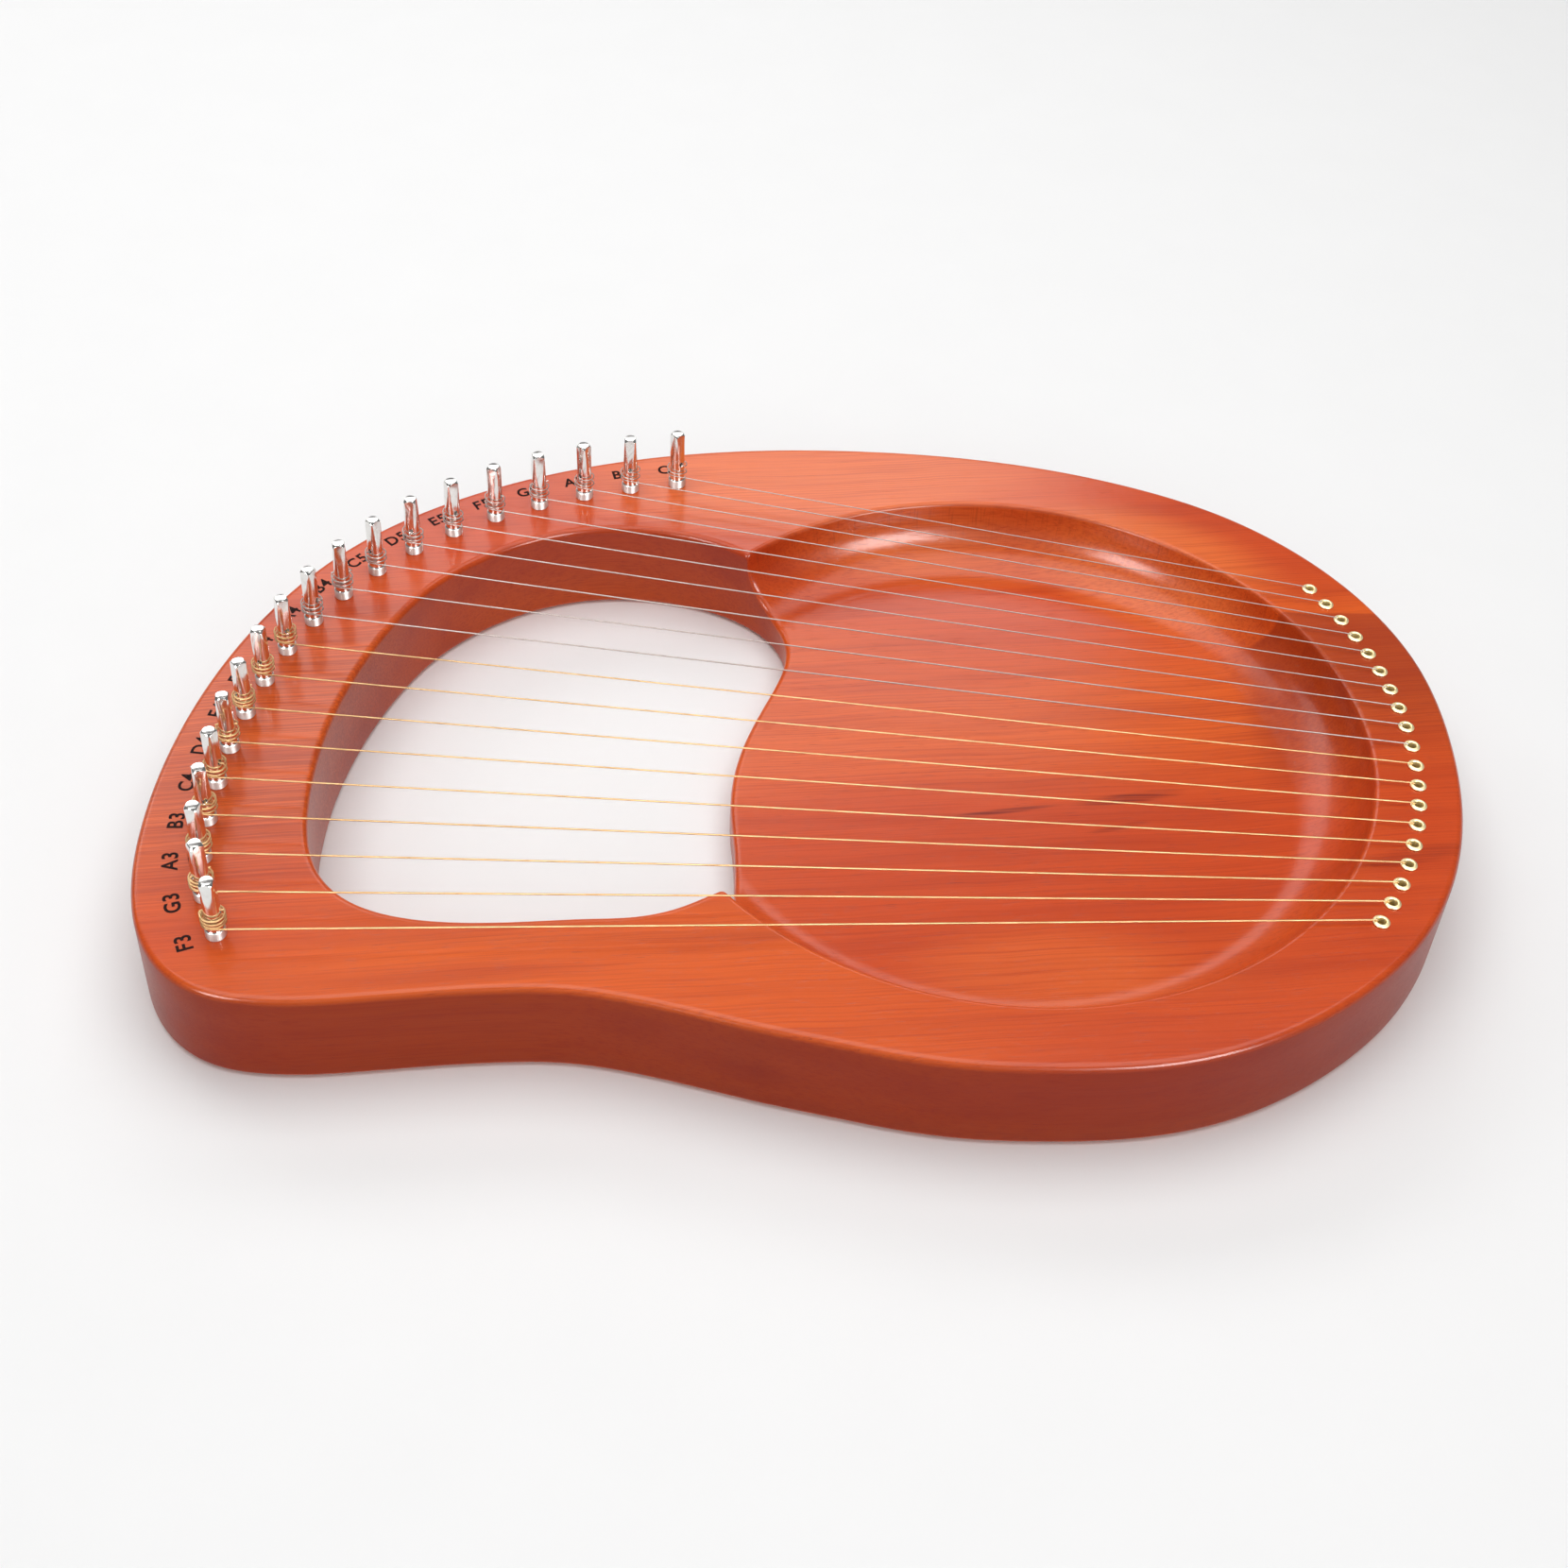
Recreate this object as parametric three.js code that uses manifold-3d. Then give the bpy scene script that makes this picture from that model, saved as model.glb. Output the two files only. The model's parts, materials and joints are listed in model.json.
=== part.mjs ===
// A 19-string lyre harp lying on its back. One solid board carries everything: it has a kidney-shaped
// outline, an opening for the hand and a round carved dish. Tuning pins stand along the curved arm, and the
// strings run from them over the opening and the dish to brass eyelets on the far side.
// Millimetres, +Z up. X runs along the grain from the arm to the dish, the player's tuning side faces -Y, and
// the origin is on the back face under the middle of the outline.

import * as THREE from 'three';
import { mergeVertices } from 'three/addons/utils/BufferGeometryUtils.js';
import Module from 'manifold-3d';

const wasm = await Module();
wasm.setup();

// ---- Driving dimensions ----

const notes = 'F3 G3 A3 B3 C4 D4 E4 F4 G4 A4 B4 C5 D5 E5 F5 G5 A5 B5 C6'.split(' ');
const woundStrings = 9; // the lowest strings have a brass winding, and the rest are plain steel

// Board
const boardThickness = 30;
const edgeRound = 2; // round-over of the outline and of the opening, front and back
const edgeRoundSteps = 2;
const stretchFacets = 7; // straight pieces in each stretch of an outline

// An outline is a loop of nodes, counter-clockwise. A node has its place, the heading of travel through it in
// degrees, and how far the curve holds to that heading before the node and after it.
const outlineNodes = [
  { x: 182, y: 6, heading: 90, before: 43, after: 41 },
  { x: 123, y: 103, heading: 152, before: 39, after: 34 },
  { x: 7, y: 128, heading: 180, before: 49, after: 55 },
  { x: -126, y: 86, heading: 219, before: 42, after: 49 },
  { x: -182, y: -50, heading: 270, before: 47, after: 28 },
  { x: -166, y: -101, heading: 318, before: 12, after: 12 },
  { x: -135, y: -110, heading: 0, before: 12, after: 14 },
  { x: -72, y: -105, heading: 0, before: 24, after: 20 },
  { x: -8, y: -119, heading: -13, before: 21, after: 24 },
  { x: 51, y: -128, heading: 0, before: 25, after: 27 },
  { x: 137, y: -101, heading: 38, before: 41, after: 42 },
];
const openingNodes = [
  { x: -56, y: 83, heading: 180, before: 28, after: 22 },
  { x: -110, y: 56, heading: 229, before: 20, after: 18 },
  { x: -138, y: -32, heading: 270, before: 38, after: 30 },
  { x: -92, y: -82, heading: 0, before: 40, after: 14 },
  { x: -56, y: -80, heading: 2, before: 14, after: 16 },
  { x: -28, y: -71, heading: 28, before: 7, after: 6 },
  { x: -22, y: -62, heading: 90, before: 4, after: 10 },
  { x: -22, y: -28, heading: 94, before: 20, after: 36 },
  { x: -4, y: 47, heading: 90, before: 18, after: 21 },
];

// Dish
const dishCentre = new THREE.Vector2(54.5, -5);
const dishRadius = 103;
const dishDepth = 18.5;
const dishLipRound = 1.5;
const dishCoveWidth = 18;
const dishFacets = 56;
const dishCoveSteps = 5;

// Tuning pins stand on a line from the highest note to the lowest. They are a little closer together at the
// low end: pinCrowding is that change of pitch as a share of the line.
const pinLineNodes = [
  { x: -38, y: 107, heading: 189, before: 0, after: 84 },
  { x: -164, y: -47, heading: 270, before: 87, after: 25 },
  { x: -155, y: -88, heading: 291, before: 5, after: 0 },
];
const pinCrowding = 0.05;
const pinFacets = 10;
const pinShankRadius = 2.4;
const pinShankDepth = 22;
const pinHoleDepth = 23;
const pinRunningGap = 0.05;
const pinFootRadius = 2.75;
const pinFootLift = 0.3; // gap between the foot and the board
const pinFootHeight = 2.2;
const pinNeckRadius = 2.3;
const pinNeckStart = 3.2;
const pinHeight = 20;
const pinTopChamfer = 0.8;
const pinFlatStart = 8; // where the square head begins to run out of the round neck
const pinFlatTopHalfWidth = 1.75;
const pinStringHoleHeight = 9;
const pinStringHoleRadius = 0.6;
const pinTurnStep = 37; // degrees that each head is turned on from its neighbour

// Eyelets stand on an arc round the dish, from the highest note to the lowest.
const eyeletArcCentre = new THREE.Vector2(39, -2);
const eyeletArcRadius = 130.5;
const eyeletArcStart = 26.6;
const eyeletArcEnd = -36.4;
const eyeletFacets = 10;
const eyeletHoleRadius = 1.2;
const eyeletBarrelRadius = 1.6;
const eyeletBarrelLength = 5;
const eyeletFlangeRadius = 2.4;
const eyeletFlangeLift = 0.1;
const eyeletFlangeHeight = 0.9;
const eyeletFitGap = 0.3;

// String passages through the board, below the eyelets
const passageFacets = 8;
const passageRadius = 1.1;
const ballPocketRadius = 2.6;
const ballPocketDepth = 6.5;

// Strings
const woundRadiusLow = 0.42;
const woundRadiusHigh = 0.29;
const plainRadiusLow = 0.21;
const plainRadiusHigh = 0.15;
const stringSides = 6;
const dropThickening = 1.3; // the end twist that holds the ball makes the drop thicker than the span
const stringGap = 0.3; // air between a string and the pin or the eyelet that it bears on
const coilFacets = 8;
const coilHeight = 3.4;
const coilBelowLine = 1.5; // how far the coil reaches below the string's line, in string radii
const stringLeaveHeight = 5.3; // above the board, where the string leaves its coil
const ballRadius = 1.9;
const ballFacets = 6;
const ballRings = 4;

// Cutters run this far past the face they open.
const cutMargin = 1;

// ---- Geometry helpers ----

const radians = THREE.MathUtils.degToRad;

function headingVector(node, length) {
  const angle = radians(node.heading);
  return new THREE.Vector2(Math.cos(angle), Math.sin(angle)).multiplyScalar(length);
}

// Adds the smooth curve from one node to the next to a path.
function addStretch(path, from, to) {
  const leave = headingVector(from, from.after).add(from);
  const arrive = headingVector(to, -to.before).add(to);
  path.bezierCurveTo(leave.x, leave.y, arrive.x, arrive.y, to.x, to.y);
}

function smoothPath(path, nodes, closed) {
  path.moveTo(nodes[0].x, nodes[0].y);
  const stretches = closed ? nodes.length : nodes.length - 1;
  for (let i = 0; i < stretches; i++) {
    addStretch(path, nodes[i], nodes[(i + 1) % nodes.length]);
  }
  return path;
}

// A three.js geometry as a solid that can be cut and joined.
function solidFrom(geometry) {
  const bare = geometry.clone();
  bare.deleteAttribute('normal');
  bare.deleteAttribute('uv');
  const merged = mergeVertices(bare);
  const vertProperties = new Float32Array(merged.attributes.position.array);
  const triVerts = new Uint32Array(merged.index.array);
  return new wasm.Manifold(new wasm.Mesh({ numProp: 3, vertProperties, triVerts }));
}

function geometryFrom(solid) {
  const mesh = solid.getMesh();
  const geometry = new THREE.BufferGeometry();
  geometry.setAttribute('position', new THREE.BufferAttribute(mesh.vertProperties, 3));
  geometry.setIndex(new THREE.BufferAttribute(mesh.triVerts, 1));
  geometry.computeVertexNormals();
  return geometry;
}

// A turned piece about +Z from [radius, height] pairs, listed upwards along the outside.
function turned(profile, facets) {
  const points = profile.map(([radius, height]) => new THREE.Vector2(radius, height));
  return new THREE.LatheGeometry(points, facets).rotateX(Math.PI / 2);
}

function plug(x, y, bottom, top, radius, facets) {
  const profile = [[0, bottom], [radius, bottom], [radius, top], [0, top]];
  return solidFrom(turned(profile, facets).translate(x, y, 0));
}

// A straight rod whose ends run past both points by its own radius, so that rods meeting at a point join.
function rod(from, to, radius) {
  const along = new THREE.Vector3().subVectors(to, from);
  const length = along.length() + 2 * radius;
  const geometry = new THREE.CylinderGeometry(radius, radius, length, stringSides);
  const turn = new THREE.Quaternion().setFromUnitVectors(new THREE.Vector3(0, 1, 0), along.normalize());
  const middle = new THREE.Vector3().addVectors(from, to).multiplyScalar(0.5);
  return solidFrom(geometry.applyQuaternion(turn).translate(middle.x, middle.y, middle.z));
}

// The radius to give a polygon so that a circle of this radius fits inside its flats.
function aroundCircle(radius, facets) {
  return radius / Math.cos(Math.PI / facets);
}

// ---- Layout ----

const pinLine = smoothPath(new THREE.Path(), pinLineNodes, false);

function share(index) {
  return index / (notes.length - 1);
}

function pinPlace(index) {
  const t = 1 - share(index);
  return pinLine.getPoint(t + pinCrowding * t * (1 - t));
}

function eyeletPlace(index) {
  const angle = radians(THREE.MathUtils.lerp(eyeletArcEnd, eyeletArcStart, share(index)));
  const fromCentre = new THREE.Vector2(Math.cos(angle), Math.sin(angle)).multiplyScalar(eyeletArcRadius);
  return fromCentre.add(eyeletArcCentre);
}

function stringRadius(index) {
  if (index < woundStrings) {
    return THREE.MathUtils.lerp(woundRadiusLow, woundRadiusHigh, index / (woundStrings - 1));
  }
  const plainIndex = index - woundStrings;
  const lastPlain = notes.length - 1 - woundStrings;
  return THREE.MathUtils.lerp(plainRadiusLow, plainRadiusHigh, plainIndex / lastPlain);
}

// ---- Board ----

function boardBlank() {
  const shape = smoothPath(new THREE.Shape(), outlineNodes, true);
  shape.holes.push(smoothPath(new THREE.Path(), openingNodes, true));
  const blank = new THREE.ExtrudeGeometry(shape, {
    depth: boardThickness - 2 * edgeRound,
    curveSegments: stretchFacets,
    bevelThickness: edgeRound,
    bevelSize: edgeRound,
    bevelOffset: -edgeRound,
    bevelSegments: edgeRoundSteps,
  });
  return solidFrom(blank.translate(0, 0, edgeRound));
}

// The dish has a flat floor, a cove wall that ends upright, and a lip rounded over onto the top face.
function dishCutter() {
  const floor = boardThickness - dishDepth;
  const floorRadius = dishRadius - dishCoveWidth;
  const wallTop = boardThickness - dishLipRound;
  const profile = [[0, floor]];
  for (let i = 0; i <= dishCoveSteps; i++) {
    const angle = (i / dishCoveSteps) * Math.PI / 2;
    const radius = floorRadius + dishCoveWidth * Math.sin(angle);
    profile.push([radius, floor + (wallTop - floor) * (1 - Math.cos(angle))]);
  }
  const lipMiddle = dishLipRound * (1 - Math.SQRT1_2);
  profile.push([dishRadius + lipMiddle, boardThickness - lipMiddle]);
  profile.push([dishRadius + dishLipRound, boardThickness]);
  profile.push([dishRadius + dishLipRound, boardThickness + cutMargin]);
  profile.push([0, boardThickness + cutMargin]);
  return solidFrom(turned(profile, dishFacets).translate(dishCentre.x, dishCentre.y, 0));
}

function pinHoleCutter(index) {
  const { x, y } = pinPlace(index);
  const radius = aroundCircle(pinShankRadius + pinRunningGap, pinFacets);
  return plug(x, y, boardThickness - pinHoleDepth, boardThickness + cutMargin, radius, pinFacets);
}

// The passage is stepped: a seat for the eyelet's barrel, a bore for the string and a pocket for its ball.
function passageCutter(index) {
  const { x, y } = eyeletPlace(index);
  const top = boardThickness + cutMargin;
  const seatBottom = boardThickness - eyeletBarrelLength - eyeletFitGap;
  const seatRadius = aroundCircle(eyeletBarrelRadius + eyeletFitGap, passageFacets);
  const bore = plug(x, y, -cutMargin, top, passageRadius, passageFacets);
  const seat = plug(x, y, seatBottom, top, seatRadius, passageFacets);
  const pocket = plug(x, y, -cutMargin, ballPocketDepth, ballPocketRadius, passageFacets);
  return bore.add(seat).add(pocket);
}

function harpBody() {
  let body = boardBlank().subtract(dishCutter());
  for (let i = 0; i < notes.length; i++) {
    body = body.subtract(pinHoleCutter(i)).subtract(passageCutter(i));
  }
  return geometryFrom(body);
}

// ---- Tuning pin, standing on the origin ----

// A block whose inner face is one flat of the tapered square head.
function headFlatCutter(quarter) {
  const rise = pinHeight - pinFlatStart;
  const lean = Math.atan2(pinNeckRadius - pinFlatTopHalfWidth, rise);
  const size = 2 * rise;
  const block = new THREE.BoxGeometry(size, size, size);
  block.translate(size / 2, 0, size / 2);
  block.rotateY(-lean);
  block.translate(pinNeckRadius, 0, pinFlatStart);
  block.rotateZ(quarter * Math.PI / 2);
  return solidFrom(block);
}

function tuningPin() {
  const profile = [
    [0, -pinShankDepth],
    [pinShankRadius, -pinShankDepth],
    [pinShankRadius, pinFootLift],
    [pinFootRadius, pinFootLift],
    [pinFootRadius, pinFootHeight],
    [pinNeckRadius, pinNeckStart],
    [pinNeckRadius, pinHeight - pinTopChamfer],
    [pinNeckRadius - pinTopChamfer, pinHeight],
    [0, pinHeight],
  ];
  let pin = solidFrom(turned(profile, pinFacets));
  for (let quarter = 0; quarter < 4; quarter++) {
    pin = pin.subtract(headFlatCutter(quarter));
  }
  const across = new THREE.Vector3(2 * pinNeckRadius, 0, 0);
  const stringHole = rod(across.clone().negate(), across, pinStringHoleRadius);
  return geometryFrom(pin.subtract(stringHole.translate(0, 0, pinStringHoleHeight)));
}

// ---- Eyelet, seated at the origin ----

function eyelet() {
  const flangeTop = eyeletFlangeLift + eyeletFlangeHeight;
  const shoulder = eyeletFlangeLift + eyeletFlangeHeight / 2;
  const profile = [
    [eyeletHoleRadius, -eyeletBarrelLength],
    [eyeletBarrelRadius, -eyeletBarrelLength],
    [eyeletBarrelRadius, eyeletFlangeLift],
    [eyeletFlangeRadius, eyeletFlangeLift],
    [eyeletFlangeRadius, shoulder],
    [eyeletBarrelRadius, flangeTop],
    [eyeletHoleRadius, shoulder],
    [eyeletHoleRadius, -eyeletBarrelLength],
  ];
  return turned(profile, eyeletFacets);
}

// ---- String ----

// The coil is a ring round the pin's neck. The string leaves its -Y side, runs to the middle of the eyelet and
// drops through the board to its ball.

// The coil is turned so that the string leaves along the middle of one of its flats.
function coil(pin, leaveAngle, radius, bottom) {
  const inside = pinNeckRadius + stringGap;
  const insideCorner = aroundCircle(inside, coilFacets);
  const outsideCorner = aroundCircle(inside + 2 * radius, coilFacets);
  const top = bottom + coilHeight;
  const ring = turned([
    [insideCorner, bottom],
    [outsideCorner, bottom],
    [outsideCorner, top],
    [insideCorner, top],
    [insideCorner, bottom],
  ], coilFacets);
  const firstFlat = -Math.PI / 2 + Math.PI / coilFacets;
  return solidFrom(ring.rotateZ(leaveAngle - firstFlat).translate(pin.x, pin.y, 0));
}

function ball(centre) {
  const geometry = new THREE.SphereGeometry(ballRadius, ballFacets, ballRings).rotateX(Math.PI / 2);
  return solidFrom(geometry.translate(centre.x, centre.y, centre.z));
}

function string(index) {
  const pin = pinPlace(index);
  const hole = eyeletPlace(index);
  const radius = stringRadius(index);
  const leaveHeight = boardThickness + stringLeaveHeight;
  const lineRadius = pinNeckRadius + stringGap + radius;
  const toEyelet = new THREE.Vector2().subVectors(hole, pin);
  const leaveAngle = toEyelet.angle() - Math.acos(lineRadius / toEyelet.length());
  const leave = new THREE.Vector3(
    pin.x + lineRadius * Math.cos(leaveAngle),
    pin.y + lineRadius * Math.sin(leaveAngle),
    leaveHeight,
  );
  const bearing = boardThickness + eyeletFlangeLift + eyeletFlangeHeight + stringGap + radius;
  const bend = new THREE.Vector3(hole.x, hole.y, bearing);
  const ballCentre = new THREE.Vector3(hole.x, hole.y, ballPocketDepth - stringGap - ballRadius);
  const wrapped = coil(pin, leaveAngle, radius, leaveHeight - coilBelowLine * radius);
  const span = rod(leave, bend, radius);
  const drop = rod(bend, ballCentre, radius * dropThickening);
  return geometryFrom(wrapped.add(span).add(drop).add(ball(ballCentre)));
}

// ---- Materials ----

const finishes = {
  wood: { color: 0xb8451c, roughness: 0.42, metalness: 0 },
  nickel: { color: 0xd8d8d6, roughness: 0.16, metalness: 1 },
  brass: { color: 0xd8b45c, roughness: 0.25, metalness: 1 },
  bronzeWinding: { color: 0xc8924a, roughness: 0.35, metalness: 1 },
  steel: { color: 0xb9b4b0, roughness: 0.3, metalness: 1 },
};

function piece(name, geometry, finish) {
  const mesh = new THREE.Mesh(geometry, new THREE.MeshStandardMaterial(finish));
  mesh.name = name;
  return mesh;
}

// ---- Assembly ----

const harp = new THREE.Group();
harp.add(piece('harp_body', harpBody(), finishes.wood));

notes.forEach((note, index) => {
  const pin = piece(`tuning_pin_${note}`, tuningPin(), finishes.nickel);
  const pinSpot = pinPlace(index);
  pin.position.set(pinSpot.x, pinSpot.y, boardThickness);
  pin.rotation.z = radians(index * pinTurnStep);
  harp.add(pin);

  const ring = piece(`eyelet_${note}`, eyelet(), finishes.brass);
  const ringSpot = eyeletPlace(index);
  ring.position.set(ringSpot.x, ringSpot.y, boardThickness);
  harp.add(ring);

  const wire = index < woundStrings ? finishes.bronzeWinding : finishes.steel;
  harp.add(piece(`string_${note}`, string(index), wire));
});

export default harp;
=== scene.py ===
# The finished look of a 19-string lyre harp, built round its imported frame. Metres, +Z up, X along the grain.
# The board, the pins, the eyelets and the strings are all rebuilt as fine meshes in the places that the frame
# gives them. Each string is two pieces: a coil that turns with its pin, and a span that stays on the board.

import json
import math

import bmesh
import bpy
import numpy as np
from mathutils import Matrix, Vector
from mathutils.geometry import delaunay_2d_cdt
from mathutils.kdtree import KDTree


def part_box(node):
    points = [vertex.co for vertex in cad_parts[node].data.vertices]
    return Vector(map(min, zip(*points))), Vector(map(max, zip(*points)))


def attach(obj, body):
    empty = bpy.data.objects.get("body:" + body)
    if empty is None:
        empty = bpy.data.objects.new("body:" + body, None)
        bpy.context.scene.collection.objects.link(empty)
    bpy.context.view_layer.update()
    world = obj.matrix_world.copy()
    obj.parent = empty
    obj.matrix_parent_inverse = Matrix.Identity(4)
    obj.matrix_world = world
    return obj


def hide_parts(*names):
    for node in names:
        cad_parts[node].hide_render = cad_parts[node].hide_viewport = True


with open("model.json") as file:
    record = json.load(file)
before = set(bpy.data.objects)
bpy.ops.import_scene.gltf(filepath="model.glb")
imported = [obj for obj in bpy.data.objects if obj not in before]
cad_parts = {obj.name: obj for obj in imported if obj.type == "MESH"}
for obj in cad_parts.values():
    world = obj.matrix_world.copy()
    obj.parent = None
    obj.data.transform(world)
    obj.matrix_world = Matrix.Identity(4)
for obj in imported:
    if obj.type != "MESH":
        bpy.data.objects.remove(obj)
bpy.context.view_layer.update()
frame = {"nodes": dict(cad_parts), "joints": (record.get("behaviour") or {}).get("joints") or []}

MM = 0.001
FULL_TURN = 2 * math.pi

# ---- Driving dimensions, in millimetres; the frame gives every place ----

NOTES = [joint["child"].removeprefix("pin_") for joint in frame["joints"]]
WOUND_STRINGS = 9  # the lowest strings have a winding, and the rest are plain steel

EDGE_ROUND = 2.0
EDGE_ROUND_STEPS = 7
SUPPORT_STRIP = 0.35  # a narrow flat strip beside each round-over keeps the flat's shading flat
OUTLINE_SPACING = 1.6
WALL_ROWS = 4
FLAT_SPACING = 6.5  # pitch of the loose points that fill the flat areas

DISH_LIP_ROUND = 1.5
DISH_SPACING = 2.0
DISH_COVE_STEPS = 16
DISH_LIP_STEPS = 6

PIN_TURN_STEP = 37  # degrees that each head is turned on from its neighbour, as in the frame
PIN_SHANK_RADIUS = 2.4
PIN_HOLE_RADIUS = 2.45
PIN_HOLE_DEPTH = 23.0
PIN_THREAD_RADIUS = 2.75  # the ringed foot that stands just out of the board
PIN_THREAD_DEPTH = 0.10
PIN_THREAD_PITCH = 0.34
PIN_THREAD_START = 0.05
PIN_THREAD_END = 2.77
PIN_FOOT_TAPER = 0.3  # height in which the foot narrows to the neck
PIN_NECK_RADIUS = 2.3
PIN_FLAT_START = 8.0
PIN_TOP_CHAMFER = 0.7
PIN_END_CHAMFER = 0.5
PIN_EDGE_BREAK = 0.14
PIN_FLAT_TOP_HALF_WIDTH = 1.75
PIN_STRING_HOLE_HEIGHT = 9.0
PIN_STRING_HOLE_RADIUS = 0.6
PIN_STRING_HOLE_SINK = 0.25  # countersink at both mouths of the string hole
PIN_SEGMENTS = 64

EYELET_SEAT_RADIUS = 1.95
EYELET_SEAT_DEPTH = 5.3
EYELET_CREST_RADIUS = 1.65
EYELET_CREST_HEIGHT = 0.85
EYELET_HOLE_RADIUS = 1.2
EYELET_BARREL_RADIUS = 1.6
EYELET_BARREL_LENGTH = 5
EYELET_FLANGE_RADIUS = 2.25
EYELET_FLANGE_LIFT = 0.03
EYELET_RIM_RADIUS = 0.30  # roundness of the flange's outer edge
EYELET_MOUTH_RADIUS = 0.40  # roundness of the lip of the hole
PASSAGE_RADIUS = 1.1
BALL_POCKET_RADIUS = 2.6
BALL_POCKET_DEPTH = 6.5
BALL_RADIUS = 1.75
BALL_GROOVE_RADIUS = 1.25
BALL_HALF_LENGTH = 1.3
BALL_CLEARANCE = 0.7  # from the roof of its pocket to the ball end
HOLE_SEGMENTS = 28

STRING_LEAVE_HEIGHT = 5.3
COIL_TOP_HEIGHT = 8.5
COIL_GAP = 0.55  # air between a coil and its pin
COIL_SLACK = 0.09  # how far the turns of a coil wander from an even helix
WOUND_RADII = (0.27, 0.22)
PLAIN_RADII = (0.21, 0.15)
COIL_TURNS = (3.1, 1.7)  # from the lowest string to the highest
COIL_SINK_ANGLE = 1.5  # radians in which the coil drops below the span, or climbs back
COIL_SUNK_UNTIL = 5.6  # radians of coil from the span to where it is level with it again
COIL_CLEARANCE = 0.04
COIL_FLAT = 0.62 * FULL_TURN  # radians of coil before it starts to climb
COIL_APPROACH = 0.5  # radians short of the string hole at which the wire starts to turn inwards
COIL_STEP = 12  # degrees between the points of a coil
COIL_SLACK_WAVE = 0.43  # how fast the wandering goes round, per radian of coil
HOLE_REACH = 1.4  # where the wire is held inside the head, from the pin's axis
TAIL_REACH = 3.1  # where the wire's cut end stands out, from the pin's axis
CREST_GAP = 0.02  # air between a string and the flange that it passes over
STRING_SIDES = 12

WOOD_STREAKS = [  # dark streaks in the board: from, to, width, depth of colour
    ((33, -26), (76, -18.5), 2.6, 0.80), ((72, -20), (112, -12.5), 5.5, 0.75),
    ((76, -31), (98, -25), 3.0, 0.45), ((112, 8), (226, 20), 62, 0.22), ((138, -60), (182, -50), 8.0, 0.35),
    ((20, -96), (90, -101), 5.0, 0.30), ((-182, -95), (-118, 62), 112, 0.36),
]
PALE_PATCHES = [  # lighter places, partly thin stain and partly painted light and sheen where the far side and the dish's coves are lit: from, to, width, depth of colour
    ((-90, 104), (110, 116), 74, 0.50), ((70, 100), (156, 52), 44, 0.55),
    ((10, -84), (110, -80), 44, 0.30), ((-2, 90), (112, 88), 30, 0.25),
]
SEAM_START = (128, 46)  # where the edge of the darker board at the right comes out of the dish
SEAM_WIDTH = 1.2
SEAM_FADE_IN = 14  # length in which the seam appears
DARK_BOARD_FADE = (80, 20)  # the darker board fades out between these distances from the seam

LABEL_CAP_HEIGHT = 4.3
CAP_SHARE = 0.72  # height of a capital as a share of the typeface's size
LABEL_WIDTH = 0.92  # as a share of the typeface's own width
LABEL_WEIGHT = 0.14  # how far each stroke is thickened on either side
LABEL_RELIEF = 0.03
LABEL_OFFSET = 8.2  # from the pin's axis to the middle of its note name, away from the opening
LABEL_LAG = 1.3  # how far the highest note's name stands back along the row of pins

BOARD_LOW, BOARD_HIGH = (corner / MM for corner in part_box("harp_body"))
BOARD_TOP = BOARD_HIGH.z


def box_middle(node):
    """The middle of a frame node in plan, in millimetres."""
    low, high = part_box(node)
    middle = (low + high) / 2 / MM
    return np.array([middle.x, middle.y])


PIN_PLACES = [box_middle(f"tuning_pin_{note}") for note in NOTES]
EYELET_PLACES = [box_middle(f"eyelet_{note}") for note in NOTES]
PIN_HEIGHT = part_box(f"tuning_pin_{NOTES[0]}")[1].z / MM - BOARD_TOP
PIN_SHANK_DEPTH = BOARD_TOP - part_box(f"tuning_pin_{NOTES[0]}")[0].z / MM


def share_of(pair, share):
    return pair[0] + (pair[1] - pair[0]) * share


def string_radius(index):
    if index < WOUND_STRINGS:
        return share_of(WOUND_RADII, index / (WOUND_STRINGS - 1))
    return share_of(PLAIN_RADII, (index - WOUND_STRINGS) / (len(NOTES) - 1 - WOUND_STRINGS))


# ---- Mesh helpers, all in millimetres until the object is made ----


class Soup:
    """Faces gathered piece by piece, each with a patch number and a material number."""

    def __init__(self):
        self.points = []
        self.faces = []
        self.patches = []
        self.materials = []

    def add(self, points, faces, patch=0, material=0):
        start = sum(len(block) for block in self.points)
        self.points.append(np.asarray(points, float).reshape(-1, 3))
        self.faces += [tuple(start + i for i in face) for face in faces]
        self.patches += [patch] * len(faces)
        self.materials += [material] * len(faces)

    def mesh(self, name, weld=None, sharp_between_patches=False, sharp_angle=None):
        mesh = bpy.data.meshes.new(name)
        mesh.from_pydata((np.concatenate(self.points) * MM).tolist(), [], self.faces)
        mesh.polygons.foreach_set("material_index", self.materials)
        patch = mesh.attributes.new("patch", "INT", "FACE")
        patch.data.foreach_set("value", self.patches)
        if weld:
            weld_points(mesh, weld * MM)
        mesh.shade_smooth()
        if sharp_between_patches:
            mark_patch_borders(mesh)
        if sharp_angle:
            mesh.set_sharp_from_angle(angle=math.radians(sharp_angle))
        return mesh


def weld_points(mesh, distance):
    work = bmesh.new()
    work.from_mesh(mesh)
    bmesh.ops.remove_doubles(work, verts=work.verts, dist=distance)
    bmesh.ops.dissolve_degenerate(work, dist=distance / 10, edges=work.edges)
    work.to_mesh(mesh)
    work.free()


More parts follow.
